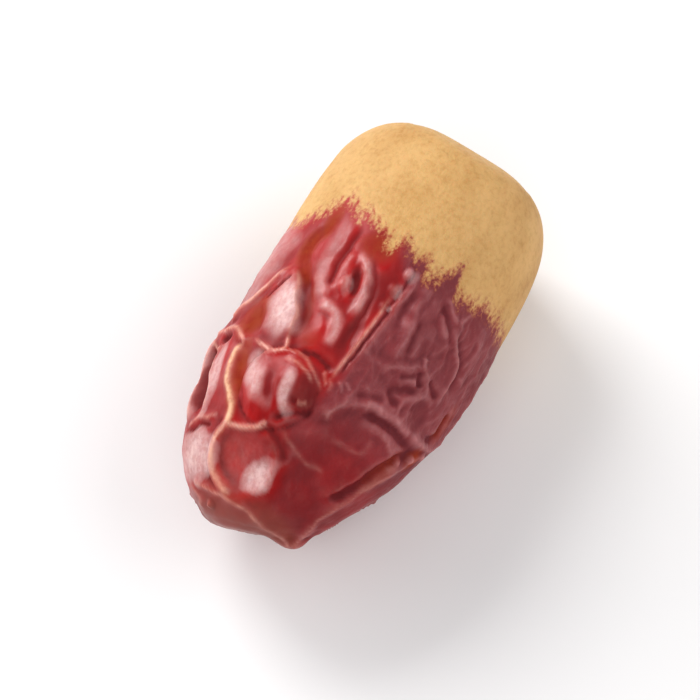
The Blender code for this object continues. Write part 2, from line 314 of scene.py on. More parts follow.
@dataclass(frozen=True)
class Swell:
    """An oval blister, or a dent where its height is negative, or an oval patch of colour."""

    along: float
    around: float
    reach_along: float
    reach_round: float
    turn: float
    height: float
    softness: float

    def rise(self, points: np.ndarray, outline: Outline) -> np.ndarray:
        """Work out the swell's height.

        Args:
            points: The points, about the axis.
            outline: The outline that the swell is on.

        Returns:
            The height that it gives each point.
        """
        centre, facing = outline.on_skin(np.array([(self.along, self.around)]))
        across = np.cross(facing[0], (1.0, 0.0, 0.0))
        across /= np.linalg.norm(across)
        forward = np.cross(across, facing[0])
        offset = points - centre[0]
        turn = math.radians(self.turn)
        u = offset @ (math.cos(turn) * forward + math.sin(turn) * across) / self.reach_along
        v = offset @ (math.cos(turn) * across - math.sin(turn) * forward) / self.reach_round
        depth = offset @ facing[0] / (self.reach_along + self.reach_round)
        return self.height * np.clip(1 - u * u - v * v - depth * depth, 0, 1) ** self.softness


@dataclass(frozen=True)
class Flat:
    """A place where the fruit was pressed flat.

    edge is how round the border of the place is. Where the press is under the least share of it, it is
    left out.
    """

    along: float
    around: float
    depth: float
    edge: float = 0.25
    least: float = 0.125

    def press(self, points: np.ndarray, outline: Outline) -> np.ndarray:
        """Work out how far the press pushes the skin in.

        Args:
            points: The points, about the axis.
            outline: The outline that the place is on.

        Returns:
            What each point loses, as XYZ.
        """
        centre, facing = outline.on_skin(np.array([(self.along, self.around)]))
        over = (points - centre[0]) @ facing[0] + self.depth
        over = 0.5 * (over + np.sqrt(over * over + self.edge * self.edge))
        return over[:, None] * facing[0] * (over > self.edge * self.least)[:, None]


@dataclass(frozen=True)
class Net:
    """An irregular net of folds, raised along the borders of long cells."""

    height: float
    cell_along: float
    cell_round: float
    fold: float
    bend: float
    bend_fineness: float
    seed: int
    strength: float = 0.7
    uneven: float = 0.5
    uneven_fineness: float = 0.3

    def rise(self, points: np.ndarray) -> np.ndarray:
        """Work out the net's height.

        Args:
            points: The points, about the axis.

        Returns:
            The height that it gives each point.
        """
        noise.seed_set(self.seed)
        heights = np.empty(len(points))
        for k, spot in enumerate(points):
            point = Vector(spot)
            place = point + noise.noise_vector(point * self.bend_fineness) * self.bend
            cell = Vector((place.x / self.cell_along, place.y / self.cell_round, place.z / self.cell_round))
            near = noise.voronoi(cell)[0]
            strength = self.strength + self.uneven * noise.noise(point * self.uneven_fineness)
            heights[k] = strength * math.exp(-(near[1] - near[0]) / self.fold)
        return heights * self.height


# Where the fruit is pressed flat
FLATS = (
    Flat(5.5, 36, 0.55),
    Flat(6.6, 112, 1.05),
    Flat(13.1, 105, 0.8),
    Flat(0.9, 150, 1.4, 0.4),
    Flat(15.5, 62, 0.3),
    Flat(20.0, -92, 0.5, 0.5),
    Flat(9.0, 160, 0.5),
    Flat(20.0, -140, 0.5),
    Flat(14.0, 128, 0.4),
    Flat(37.9, 12, 0.5, 0.5),
)

# Blisters and dents
SWELLS = (
    # The bulges down the left, and the dish and the two-lobed blister beside them
    Swell(13.3, -84, 3.6, 3.2, 0, 0.45, 1.5),
    Swell(4.6, -84, 6.5, 5.0, 0, 0.75, 2.0),
    Swell(3.6, -14, 3.0, 2.9, 0, -0.65, 1.1),
    Swell(9.5, -12, 3.5, 3.4, 20, 0.75, 0.6),
    Swell(9.6, -23, 3.0, 1.5, 33, 0.25, 1.0),
    Swell(9.7, -4, 2.6, 1.6, 16, 0.25, 1.0),
    Swell(9.0, 0, 0.4, 0.4, 0, -0.2, 1.0),
    # The long bright blister and the amber hollow beside it
    Swell(16.3, -30, 4.2, 2.3, 22, 0.3, 1.0),
    Swell(14.6, -42, 1.9, 1.3, 20, -0.3, 1.4),
    Swell(13.1, -62, 0.6, 1.4, 0, -0.5, 1.0),
    Swell(20.5, -56, 5.5, 2.4, 0, 0.35, 1.5),
    # The bulge inside the curl, the leaf's hollow and spot, and the long straight fold's beads
    Swell(15.3, -8, 1.5, 1.2, 0, 0.15, 1.0),
    Swell(20.6, -4, 1.6, 0.55, 15, -0.45, 1.0),
    Swell(20.1, -8, 0.9, 0.6, 0, 0.25, 0.8),
    Swell(23.5, 15, 0.75, 0.4, 0, 0.3, 0.7),
    Swell(21.6, 12.5, 0.6, 0.45, 0, 0.3, 0.7),
    Swell(19.9, 12.5, 0.45, 0.35, 0, 0.25, 0.7),
    # The dusty side
    Swell(21.0, 45, 3.0, 1.6, -20, 0.3, 1.5),
    Swell(19.0, 28, 3.6, 1.6, 0, 0.3, 1.5),
    Swell(14.4, 58, 1.6, 1.5, 0, -0.3, 1.0),
    Swell(10.5, 66, 0.5, 0.4, 0, 0.25, 0.7),
    Swell(11.4, 71, 0.5, 0.4, 0, 0.25, 0.7),
    Swell(12.5, 78, 0.5, 0.4, 0, 0.25, 0.7),
    # The corner where the tip's facets meet, and the tip's small point
    Swell(1.6, 100, 2.3, 2.0, 0, 0.85, 2.2),
    Swell(0.9, -48, 0.4, 0.4, 0, 0.35, 0.6),
)

# Folds and creases
STROKES = (
    # The bright fold down the left of the two-lobed blister and round the dish, and the one between them
    Stroke(
        0.42,
        0.4,
        (
            (12.5, -42), (11.3, -44), (10.1, -44), (9.0, -42), (8.0, -37), (7.2, -33), (6.4, -32),
            (5.7, -33),
        ),
        crest=0.15,
        broad=0.6,
        cream=1.0,
        even=True,
        taper=0.1,
    ),
    Stroke(
        0.32,
        0.4,
        (
            (7.2, -33), (6.4, -32), (5.6, -34), (5.0, -38), (4.2, -40), (3.2, -40), (2.4, -35),
            (1.8, -23), (1.6, -12),
        ),
        broad=0.8,
        cream=0.25,
        pale=0.9,
        flat=0.08,
        even=True,
        taper=0.15,
    ),
    Stroke(
        0.18,
        0.15,
        ((5.8, -33), (5.8, -24), (6.0, -16), (6.3, -11), (6.8, -7)),
        flat=0.05,
        pale=1.0,
        even=True,
        taper=0.06,
    ),
    Stroke(-0.12, 0.45, ((11.3, -38), (10.0, -38), (8.7, -32), (7.6, -27), (6.5, -26))),
    # The hook at its top
    Stroke(
        0.3,
        0.22,
        ((13.2, -79), (14.0, -75), (13.9, -64), (13.8, -53), (13.2, -47), (12.6, -42), (12.0, -43)),
        broad=0.3,
        pale=1.0,
        even=True,
    ),
    Stroke(
        0.2,
        0.2,
        ((13.4, -78), (12.8, -74), (12.3, -70), (12.1, -61)),
        broad=0.3,
        pale=0.9,
        even=True,
    ),
    # The strip outside it, with a furrow along the edge that painted shade makes dark
    Stroke(
        -0.7,
        0.35,
        ((13.2, -72), (12.4, -73), (11.0, -72), (9.5, -70), (8.2, -69), (7.0, -68), (6.2, -69)),
        flat=0.45,
        even=True,
        shade=1.0,
        taper=0.35,
    ),
    Stroke(
        0.45,
        0.3,
        (
            (14.4, -75), (13.4, -77), (12.2, -79), (10.9, -79.5), (9.4, -79), (7.9, -77.5), (6.7, -75),
            (5.9, -71),
        ),
        pale=0.5,
        flat=0.15,
        bloom_and_highlight=0.9,
        even=True,
        taper=0.25,
    ),
    Stroke(0.2, 0.25, ((12.4, -66), (10.9, -64), (9.2, -61), (7.6, -58), (6.4, -60)), pale=0.5),
    Stroke(0.18, 0.2, ((5.8, -74), (6.0, -66), (6.2, -58), (6.2, -50), (6.3, -42)), pale=0.6),
    Stroke(-0.2, 0.25, ((5.2, -76), (5.5, -63), (5.6, -55), (5.6, -46))),
    # The two-lobed blister's upper edge, the furrow between the lobes, and the small flap at its foot
    Stroke(
        0.25,
        0.22,
        ((12.2, -32), (11.9, -24), (12.5, -18), (12.7, -13), (12.6, -6), (12.0, 0), (11.3, 5), (10.6, 9)),
        broad=0.3,
        pale=0.45,
    ),
    Stroke(0.12, 0.18, ((11.9, -15), (12.0, -8), (11.6, -2), (10.9, 4)), broad=0.3, pale=0.5),
    Stroke(
        -0.1,
        0.5,
        ((11.8, -19.5), (10.6, -17), (9.5, -15), (8.5, -13), (7.9, -11)),
        shade=0.75,
        taper=0.4,
    ),
    Stroke(0.2, 0.18, ((9.1, 1), (9.2, 4), (9.5, 6)), broad=0.2, pale=0.5),
    Stroke(-0.35, 0.35, ((6.9, -6), (7.7, -2), (8.3, 3), (8.6, 7), (9.2, 11))),
    Stroke(-0.3, 0.35, ((12.8, -10), (13.2, -4), (13.0, 3), (12.4, 8))),
    # The long bright blister's edges
    Stroke(
        0.45,
        0.5,
        ((20.4, -37), (18.8, -28), (17.2, -24.5), (15.9, -19.5), (14.5, -18.5), (13.2, -17)),
        lean=-0.75,
        pale=0.5,
        even=True,
    ),
    Stroke(
        0.3,
        0.22,
        ((14.2, -19), (13.2, -17), (12.5, -17), (12.2, -22), (12.5, -30), (13.0, -38)),
        broad=0.3,
        pale=1.0,
        even=True,
    ),
    Stroke(
        0.38,
        0.3,
        ((20.6, -38), (19.0, -43), (17.5, -47), (16.3, -52), (15.4, -60), (14.3, -67)),
        broad=0.3,
        lean=-0.4,
        pale=1.0,
        even=True,
    ),
    Stroke(-0.35, 0.25, ((19.6, -35), (18.7, -37), (17.6, -40), (16.7, -43))),
    # The valley from the smooth end down past that blister
    Stroke(
        -0.25,
        0.4,
        (
            (26.8, -29), (24.8, -31), (23.4, -35), (21.7, -35), (20.0, -30), (18.3, -23), (16.9, -19),
            (15.4, -15), (13.9, -11.5),
        ),
        flat=0.25,
        shade=0.6,
    ),
    # The winding fold, with a crease on its right that painted shade makes dark, and its curl
    Stroke(
        0.15,
        0.5,
        ((26.8, -23), (24.8, -23), (22.8, -22), (21.0, -21), (19.6, -18.5), (18.3, -16), (17.4, -14)),
        flat=0.35,
        bloom_and_highlight=0.2,
    ),
    Stroke(-0.2, 0.35, ((26.4, -14), (23.9, -15), (22.0, -15.5), (20.2, -15), (19.0, -13)), shade=0.8),
    Stroke(
        0.16,
        0.35,
        ((17.4, -15), (17.6, -11), (17.4, -6), (16.7, -2), (15.7, 0), (14.8, 0), (14.1, -1)),
        flat=0.2,
        bloom_and_highlight=0.6,
    ),
    # The leaf beside it, hollow along its middle
    Stroke(
        0.16,
        0.28,
        ((23.4, -11), (22.5, -4), (21.4, 1), (20.1, 3), (18.7, 3), (17.4, 3)),
        flat=0.15,
        bloom_and_highlight=0.55,
    ),
    Stroke(0.13, 0.4, ((23.4, -12), (21.9, -12.5), (20.3, -11.5), (18.9, -9)), flat=0.2, bloom_and_highlight=0.15),
    Stroke(-0.22, 0.35, ((23.2, -2), (21.6, 3), (20.1, 6), (18.3, 7), (16.6, 7), (14.5, 7)), shade=0.6),
    # The long straight fold
    Stroke(
        0.12,
        0.15,
        ((21.5, 13.5), (18.5, 13), (16.6, 12), (14.7, 11), (13.3, 10), (11.8, 9.5)),
        broad=0.2,
        pale=0.8,
        even=True,
    ),
    Stroke(-0.2, 0.16, ((24.5, 18), (21.7, 16), (19.1, 15.5), (16.6, 14), (14.2, 12.5), (12.1, 11))),
    Stroke(0.12, 0.3, ((23.6, 20), (20.8, 18), (18.7, 17.5), (16.2, 16.5), (14.6, 15)), pale=0.3),
    Stroke(0.1, 0.15, ((12.5, 5), (11.9, 7), (11.3, 9)), broad=0.2, pale=0.4),
    Stroke(0.1, 0.15, ((12.1, 8), (11.5, 11), (10.9, 12)), broad=0.2, pale=0.4),
    Stroke(0.1, 0.15, ((12.3, 13), (11.9, 15), (11.5, 17)), broad=0.2, pale=0.4),
    Stroke(0.1, 0.15, ((12.5, 16), (12.2, 18), (12.0, 20)), broad=0.2, pale=0.4),
    # The dusty side's long folds
    Stroke(
        0.2,
        0.3,
        ((24.2, 28), (23.0, 28), (21.7, 26), (20.2, 27), (18.6, 28), (17.0, 29), (15.6, 31)),
        broad=0.9,
    ),
    Stroke(-0.15, 0.4, ((23.0, 24), (21.4, 22), (19.8, 22), (18.4, 24), (16.8, 26))),
    Stroke(-0.13, 0.4, ((21.0, 31), (19.7, 32), (18.5, 32), (17.3, 33))),
    Stroke(0.2, 0.3, ((24.0, 31), (22.0, 33), (20.2, 36), (18.3, 35.5), (16.8, 36)), broad=0.9),
    Stroke(0.15, 0.28, ((22.6, 38), (21.5, 41), (20.6, 46)), broad=0.8, pale=0.3),
    Stroke(-0.16, 0.42, ((23.2, 34), (22.8, 39), (22.0, 43.5), (21.2, 48), (20.4, 52))),
    Stroke(0.18, 0.22, ((24.5, 53), (23.4, 50.5), (22.3, 48.5)), pale=0.5),
    Stroke(0.18, 0.22, ((23.9, 36), (23.2, 42.5), (22.3, 48)), pale=0.5),
    Stroke(
        0.25,
        0.25,
        ((22.4, 48), (21.6, 50), (20.9, 55), (20.0, 61), (18.6, 63.5), (17.0, 64), (16.0, 66)),
        pale=0.6,
    ),
    Stroke(-0.16, 0.42, ((22.3, 52), (21.3, 56), (20.8, 62), (19.8, 66), (18.6, 67), (17.3, 67))),
    Stroke(0.2, 0.3, ((24.9, 64), (23.5, 67), (21.9, 69), (20.3, 71), (18.8, 72)), broad=0.8, pale=0.3),
    # The forked fold above the shelf, and the hollow beside it
    Stroke(
        0.18,
        0.3,
        ((14.5, 28), (15.2, 29), (15.7, 30), (16.2, 34), (16.6, 38), (17.3, 41), (17.2, 46)),
        broad=0.7,
        pale=0.4,
    ),
    Stroke(-0.12, 0.3, ((15.5, 35), (16.0, 40), (16.7, 43.5))),
    Stroke(0.2, 0.25, ((18.5, 42), (17.8, 44), (17.2, 48)), pale=0.4),
    Stroke(
        0.15,
        0.3,
        ((17.8, 43), (17.1, 49), (16.1, 54), (15.0, 50), (14.3, 45), (13.5, 45), (12.6, 46)),
        pale=0.4,
        taper=0.06,
    ),
    Stroke(-0.2, 0.3, ((17.3, 51.5), (16.9, 56), (16.7, 63))),
    Stroke(-0.2, 0.28, ((17.1, 43.5), (16.5, 46), (15.9, 48.5))),
    Stroke(
        -0.28,
        0.42,
        ((15.9, 49), (15.3, 44.5), (14.8, 41), (14.1, 37.5), (13.6, 41), (13.0, 43)),
        flat=0.1,
    ),
    Stroke(0.14, 0.25, ((14.8, 38), (15.4, 39.5), (15.8, 44), (16.2, 46)), broad=0.6, pale=0.3),
    # The shelf across the fruit
    Stroke(
        0.32,
        0.35,
        (
            (8.7, 19), (9.2, 18), (9.8, 18), (10.7, 21), (11.3, 25), (11.9, 32), (12.2, 37), (12.5, 46),
            (12.7, 57), (12.9, 66),
        ),
        broad=0.7,
        lean=0.3,
        pale=0.6,
    ),
    Stroke(-0.15, 0.35, ((11.8, 22), (12.3, 27), (12.9, 32), (13.3, 38))),
    Stroke(-0.35, 0.4, ((11.0, 30), (11.4, 37), (11.7, 43), (11.8, 51), (11.8, 60), (12.0, 70))),
    Stroke(0.15, 0.22, ((10.3, 39), (10.8, 44), (10.8, 49), (10.6, 54), (10.3, 61)), broad=0.3, pale=0.4),
    # The right edge, with a bright red furrow inside it
    Stroke(
        0.35,
        0.35,
        ((26.0, 90), (22.0, 91), (19.0, 91), (16.5, 91), (14.8, 89), (13.5, 82), (12.9, 70), (12.8, 60)),
        pale=0.8,
        taper=0.08,
    ),
    Stroke(-0.4, 0.35, ((17.2, 76), (15.8, 79), (14.4, 78), (13.4, 70))),
    # The dish's edge, and the facets beside it
    Stroke(
        0.22,
        0.35,
        ((6.6, -9), (6.4, -4), (5.7, 3), (4.8, 9), (3.8, 13), (2.9, 13), (2.2, 7), (1.7, -5)),
        broad=0.9,
    ),
    Stroke(-0.25, 0.35, ((6.9, -6), (6.4, -3), (5.8, 4), (5.2, 11), (4.7, 16)), shade=0.8, taper=0.25),
    Stroke(
        0.13,
        0.2,
        ((6.8, 0), (6.3, 8), (5.8, 17), (5.6, 26), (5.7, 34), (5.8, 40)),
        broad=0.3,
        pale=0.25,
    ),
    Stroke(0.12, 0.2, ((8.0, 27), (8.2, 36), (8.5, 44), (9.4, 45), (10.3, 43)), broad=0.3, pale=0.25),
    # The edges where the tip's facets meet
    Stroke(
        0.2,
        0.25,
        ((2.3, -72), (1.6, -43), (1.4, -17), (1.2, 11), (1.1, 46), (1.3, 75), (1.5, 95)),
        broad=0.3,
        pale=0.6,
        taper=0.06,
    ),
    Stroke(0.12, 0.25, ((2.4, -80), (1.3, -66), (0.9, -80)), pale=0.4),
    Stroke(
        0.3,
        0.3,
        (
            (12.9, 80), (11.5, 73), (10.2, 71), (7.8, 66), (6.2, 64), (4.5, 63), (3.1, 66), (2.2, 78),
            (1.5, 95),
        ),
        pale=0.5,
        taper=0.05,
    ),
    Stroke(
        -0.35,
        0.32,
        ((12.2, 71), (10.6, 65), (8.8, 61), (7.1, 60), (6.2, 59), (5.2, 57), (4.4, 54)),
        flat=0.1,
    ),
    # The folds down the side that is turned away
    Stroke(
        0.4,
        0.4,
        ((25.0, -90), (21.5, -94), (17.5, -91), (14.5, -95), (11.0, -92), (7.5, -97)),
        broad=0.7,
    ),
    Stroke(0.35, 0.35, ((24.0, -104), (20.5, -102), (16.0, -108), (12.0, -103), (8.5, -108)), broad=0.6),
    Stroke(0.25, 0.3, ((21.5, -85), (19.0, -89), (17.0, -92)), broad=0.6),
    Stroke(0.25, 0.3, ((14.8, -95), (13.0, -99), (11.8, -103)), broad=0.6),
    Stroke(-0.3, 0.4, ((23.0, -97), (19.5, -97), (16.0, -101), (12.8, -98), (10.0, -100))),
    Stroke(-0.3, 0.35, ((24.0, -84), (21.0, -88), (18.0, -86), (15.5, -89))),
)

# Where wax makes the skin pale pink, and where painted highlights lie on the long blister, the two lobes,
# the leaf and the dish, as swells of colour
BLOOM_AND_HIGHLIGHT = (
    Swell(21.5, -58, 7.0, 2.6, 0, 0.45, 0.8),
    Swell(16.3, -27.0, 3.9, 2.3, 25, 1.15, 1.8),
    Swell(20.1, -8, 0.9, 0.7, 0, 0.45, 0.8),
    Swell(19.3, -18, 2.0, 0.7, 10, 0.35, 0.8),
    Swell(9.7, -24, 3.0, 1.3, 33, 0.85, 1.1),
    Swell(9.6, -5, 2.5, 1.0, 16, 0.85, 1.1),
    Swell(9.4, -59, 3.6, 1.3, 0, 0.8, 0.6),
    Swell(3.6, -62, 2.4, 2.8, 0, 1.0, 0.5),
    Swell(3.3, 3, 2.4, 1.4, -40, 1.0, 0.8),
    Swell(23.4, 15, 0.9, 0.5, 0, 0.5, 0.8),
    Swell(21.6, 12.5, 0.7, 0.5, 0, 0.6, 0.8),
    Swell(19.9, 12.5, 0.5, 0.4, 0, 0.6, 0.8),
    Swell(3.8, -14, 3.0, 2.9, 0, 0.15, 0.6),
)

# Where the skin is a deeper red, as swells of colour: painted shade in hollows, creases and the strip
# inside the left edge, with some of the skin's own deeper red
SHADE = (
    Swell(21.3, 8, 3.6, 1.0, 0, 0.7, 0.7),
    Swell(25.2, 0, 2.2, 2.8, 0, 0.6, 1.0),
    Swell(24.6, 28, 2.0, 3.6, 0, 0.6, 1.0),
    Swell(24.8, 55, 1.6, 4.0, 0, 0.5, 1.0),
    Swell(14.0, 3, 1.2, 1.0, 0, 0.5, 1.0),
    Swell(10.2, 4, 1.9, 1.1, 0, 0.9, 0.8),
    Swell(15.8, 5.5, 2.8, 0.9, 0, 0.9, 0.7),
    Swell(5.8, 4, 1.6, 0.7, -60, 0.5, 1.0),
    Swell(12.9, 0, 0.7, 2.0, 0, 0.5, 1.0),
    Swell(9.8, -72, 3.4, 0.85, 0, 1.0, 0.4),
    Swell(20.8, -4.5, 1.7, 0.5, 10, 0.7, 1.0),
    Swell(25.0, -8, 2.0, 1.6, 0, 0.4, 1.0),
)

# Where the tan of the stem end meets the red skin, as (round, along)
TAN_EDGE = (
    (-88, 25.8),
    (-71, 26.0),
    (-58, 25.0),
    (-50, 24.8),
    (-46, 25.9),
    (-42, 25.6),
    (-39, 26.8),
    (-36, 26.2),
    (-30, 27.7),
    (-27, 27.1),
    (-21, 26.7),
    (-17, 26.8),
    (-11, 26.2),
    (-3, 25.6),
    (3, 25.1),
    (8, 26.0),
    (11, 25.9),
    (15, 25.3),
    (24, 24.6),
    (29, 24.7),
    (31.5, 25.5),
    (33, 26.3),
    (35.5, 27.3),
    (37.5, 26.2),
    (39, 24.5),
    (43, 24.5),
    (53, 25.3),
    (61, 25.8),
    (69, 26.2),
    (84, 25.8),
    (110, 25.4),
    (135, 26.6),
    (160, 25.0),
    (185, 26.8),
    (210, 25.2),
    (240, 26.6),
)

# Where the glossy red turns to dusty mauve, as (along, round)
DUSK_EDGE = (
    (0.0, 28),
    (2.0, 25),
    (4.0, 20),
    (5.2, 14),
    (6.0, 10),
    (7.5, 0),
    (9.2, 8),
    (12.0, 11),
    (15.0, 12.5),
    (18.0, 14),
    (20.0, 16),
    (22.5, 15),
    (24.5, 7),
    (27.0, 2),
)

# Places where the skin is thin and amber, as swells of colour
AMBER = (
    Swell(25.2, -31, 2.2, 0.9, 0, 1.0, 0.5),
    Swell(22.4, -36, 2.2, 1.0, 0, 1.0, 0.5),
    Swell(20.0, -30, 2.0, 0.8, 35, 0.8, 0.8),
    Swell(17.6, -18, 3.4, 0.6, 20, 0.35, 1.0),
    Swell(14.9, -44, 2.5, 1.7, -25, 1.0, 0.6),
    Swell(9.6, -36.5, 3.9, 0.9, 8, 1.0, 0.7),
    Swell(14.4, -10, 1.2, 1.4, 0, 0.4, 1.0),
    Swell(24.3, -3, 1.7, 2.0, 0, 0.8, 1.0),
    Swell(9.0, 64, 3.0, 1.0, 0, 0.6, 1.0),
    Swell(11.6, 73, 1.6, 0.9, 0, 1.0, 1.0),
    Swell(16.0, 80, 2.6, 1.0, 0, 0.6, 1.0),
    Swell(1.2, 60, 1.6, 4.0, 0, 0.5, 1.0),
    Swell(4.0, -24, 2.4, 2.2, 0, 0.15, 1.0),
)


@dataclass(frozen=True)
class Dust:
    """How dusty and mauve the skin is from place to place."""

    edge: tuple[Pair, ...] = DUSK_EDGE
    edge_fade: Pair = (-3.0, 5.0)
    at_tip: float = 0.4
    tip_fade: Pair = (6.0, 12.0)
    less_below: float = 0.6
    below_fade: Pair = (110.0, 150.0)
    behind: float = 0.5
    behind_fade: Pair = (95.0, 140.0)

    def share(self, along: np.ndarray, around: np.ndarray) -> np.ndarray:
        """Work out the dust.

        Args:
            along: How far each point is along the axis from the tip.
            around: Its angle round the axis, in degrees from the top.

        Returns:
            0 on glossy red skin, up to 1 on dusty mauve.
        """
        edge = np.interp(along, [p[0] for p in self.edge], [p[1] for p in self.edge])
        near_tip = self.at_tip + (1 - self.at_tip) * fade(along, *self.tip_fade)
        below = 1 - self.less_below * fade(around, *self.below_fade)
        behind = self.behind * fade(-around, *self.behind_fade)
        return near_tip * fade(around - edge, *self.edge_fade) * below + behind


@dataclass(frozen=True)
class TanEnd:
    """Where the skin is tan, with a ragged edge."""

    edge: tuple[Pair, ...] = TAN_EDGE
    edge_fade: float = 1.9
    ragged: float = 0.7
    ragged_fineness: float = 1.3
    ragged_along: float = 0.35
    layer_step: float = 2.1
    layers: int = 3
    seed: int = 5

    def share(self, points: np.ndarray, along: np.ndarray, around: np.ndarray) -> np.ndarray:
        """Work out the tan.

        Args:
            points: The points on the turned form, about the axis.
            along: How far each is along the axis from the tip.
            around: Its angle round the axis, in degrees from the top.

        Returns:
            1 on the stem end, 0 on the red skin, and a ragged edge between.
        """
        edge = np.interp(around, [p[0] for p in self.edge], [p[1] for p in self.edge], period=360)
        noise.seed_set(self.seed)
        streaky = points * (self.ragged_along, 1, 1)
        ragged = layered(streaky, self.ragged_fineness, self.layer_step, self.layers)
        return fade(along + self.ragged * ragged - edge, -self.edge_fade, self.edge_fade)


@dataclass
class Relief:
    """The skin's height over the turned form, and the shares that come with it, at each point."""

    height: np.ndarray
    # Painted highlight along the folds' crests
    crest: np.ndarray
    cream: np.ndarray
    # Wax, and painted highlight on blisters and folds
    bloom_and_highlight: np.ndarray
    # Painted shade in creases and hollows
    painted_shade: np.ndarray


@dataclass
class DateSkin:
    """The whole fruit's fine skin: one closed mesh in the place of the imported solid."""

    node: str = "date"
    slot: str = "date_skin"
    squares: int = 127
    axis_height: float = 10.2
    middle: Pair = (19.02, -0.04)
    tip_swing: float = 0.9
    swing_from: float = 15.0
    tip_push: float = 0.85
    push_from: float = 7.0
    smooth_from: float = 26.0
    smooth_fade: float = 3.0
    sunk: float = 0.12
    underside_fade: float = 2.5
    drawn_side: Pair = (-92.0, 118.0)
    drawn_fade: float = 18.0
    # How strong the nets are: behind drawn folds, near the tip, and on the glossy, dusty and far sides
    net_behind_folds: float = 0.06
    net_start: Pair = (0.5, 4.0)
    net_level: float = 0.3
    glossy_net: float = 0.15
    dusty_net: float = 0.5
    dusty_start: Pair = (9.0, 13.0)
    far_net: float = 0.8
    fine_everywhere: float = 0.2
    # How strokes waver, and patches of colour drift
    uneven: float = 0.3
    uneven_seed: int = 3
    lumps: float = 0.1
    lump_fineness: float = 0.45
    lump_step: float = 2.0
    lump_layers: int = 2
    wander: float = 0.15
    wander_fineness: float = 1.1
    drift: float = 0.8
    drift_fineness: float = 0.55
    # How wide the colours along a fold are, its painted highlight among them, and how much of the wax and
    # painted highlight the painted shade drives out
    highlight_width: float = 0.16
    cream_width: float = 0.28
    bloom_and_highlight_width: float = 0.3
    lost_to_painted_shade: float = 1.6
    # How far crests and pits stand out from the smoothed relief for their whole painted highlight and
    # painted shade, and those shares on glossy and dusty skin
    smoothing: int = 14
    highlight_height: float = 0.08
    highlight_shares: Pair = (0.05, 0.3)
    painted_shade_depth: float = 0.09
    painted_shade_shares: Pair = (0.6, 0.35)
    earth_fade: Pair = (0.2, 3.0)
    recess_fade: Pair = (0.6, 2.0)
    fibre_fade: Pair = (2.4, 3.2)
    fibre_round: float = 0.5
    dull_by_dust: float = 0.6
    outline: Outline = field(default_factory=Outline)
    dust: Dust = Dust()
    tan_end: TanEnd = TanEnd()
    wide_net: Net = Net(1.15, 7.5, 3.6, 0.24, 1.6, 0.16, 7)
    middle_net: Net = Net(0.16, 3.4, 1.3, 0.22, 0.7, 0.45, 11)
    fine_net: Net = Net(0.05, 1.5, 0.6, 0.25, 0.3, 1.1, 13)

    def ball(self) -> bmesh.types.BMesh:
        """Make a ball of even squares.

        Returns:
            A cube that is cut into squares and blown up round.
        """
        ball = bmesh.new()
        bmesh.ops.create_cube(ball, size=2.0)
        bmesh.ops.subdivide_edges(ball, edges=ball.edges[:], cuts=self.squares - 1, use_grid_fill=True)
        for vert in ball.verts:
            vert.co = Vector([math.tan(c * math.pi / 4) for c in vert.co]).normalized()
        return ball

    def draw(self, points: np.ndarray, moved: np.ndarray, uneven: np.ndarray) -> Relief:
        """Draw the strokes.

        Args:
            points: The points on the turned form, about the axis.
            moved: The same points, moved a little for the strokes that wander.
            uneven: How much higher those strokes are at each point.

        Returns:
            The relief of the strokes alone.
        """
        relief = Relief(*(np.zeros(len(points)) for _ in range(5)))
        creases = np.zeros(len(points))
        for stroke in STROKES:
            index, gap, ends = stroke.near(points if stroke.even else moved, self.outline)
            rise = stroke.rise(gap, ends) * (1 if stroke.even else uneven[index])
            if stroke.height < 0:
                creases[index] += rise
                # Painted shade darkens the crease
                lift(relief.painted_shade, index, stroke.shade * near_line(gap, ends, stroke.flat + stroke.reach))
                continue
            lift(relief.height, index, rise)
            # Painted highlight on the fold's crest
            lift(relief.crest, index, stroke.pale * near_line(gap, ends, self.highlight_width + stroke.flat))
            lift(relief.cream, index, stroke.cream * near_line(gap, ends, self.cream_width))
            # Wax and painted highlight along the fold
            lift(relief.bloom_and_highlight, index, stroke.bloom_and_highlight * near_line(gap, ends, self.bloom_and_highlight_width + stroke.flat))
        relief.height += creases
        return relief

    def relief(self, points: np.ndarray, along: np.ndarray, around: np.ndarray) -> Relief:
        """Work out the skin's relief.

        Args:
            points: The points on the turned form, about the axis.
            along: How far each is along the axis from the tip.
            around: Its angle round the axis, in degrees from the top.

        Returns:
            The height of each point over the turned form, and its painted highlight on crests, its wax with
            painted highlight on blisters, and its painted shade in deep red.
        """
        noise.seed_set(self.uneven_seed)
        lumps = layered(points, self.lump_fineness, self.lump_step, self.lump_layers)
        wander = np.array([noise.noise_vector(Vector(p) * self.wander_fineness) for p in points])
        drift = np.array([noise.noise_vector(Vector(p) * self.drift_fineness) for p in points])
        relief = self.draw(points, points + self.wander * wander, 1 + self.uneven * lumps)
        height = relief.height + self.lumps * lumps
        for swell in SWELLS:
            height += swell.rise(points, self.outline)
        low, high = self.drawn_side
        drawn = fade(around, low - self.drawn_fade, low) * fade(-around, -high - self.drawn_fade, -high)
        strength = (1 - (1 - self.net_behind_folds) * drawn) * fade(along, *self.net_start)
        height += (self.wide_net.rise(points) - self.wide_net.height * self.net_level) * strength
        dusty = self.dust.share(along, around) * fade(along, *self.dusty_start) * drawn
        rough = self.glossy_net + self.dusty_net * dusty + self.far_net * (1 - drawn)
        height += self.middle_net.rise(points) * rough
        height += self.fine_net.rise(points) * (self.fine_everywhere + (1 - self.fine_everywhere) * rough)
        wrinkled = 1 - fade(along, self.smooth_from - self.smooth_fade, self.smooth_from + self.smooth_fade)
        above = fade(points[:, 2] + self.axis_height, 0, self.underside_fade)
        relief.height = (height - self.sunk) * wrinkled * above
        relief.crest *= wrinkled
        blots = points + self.drift * drift
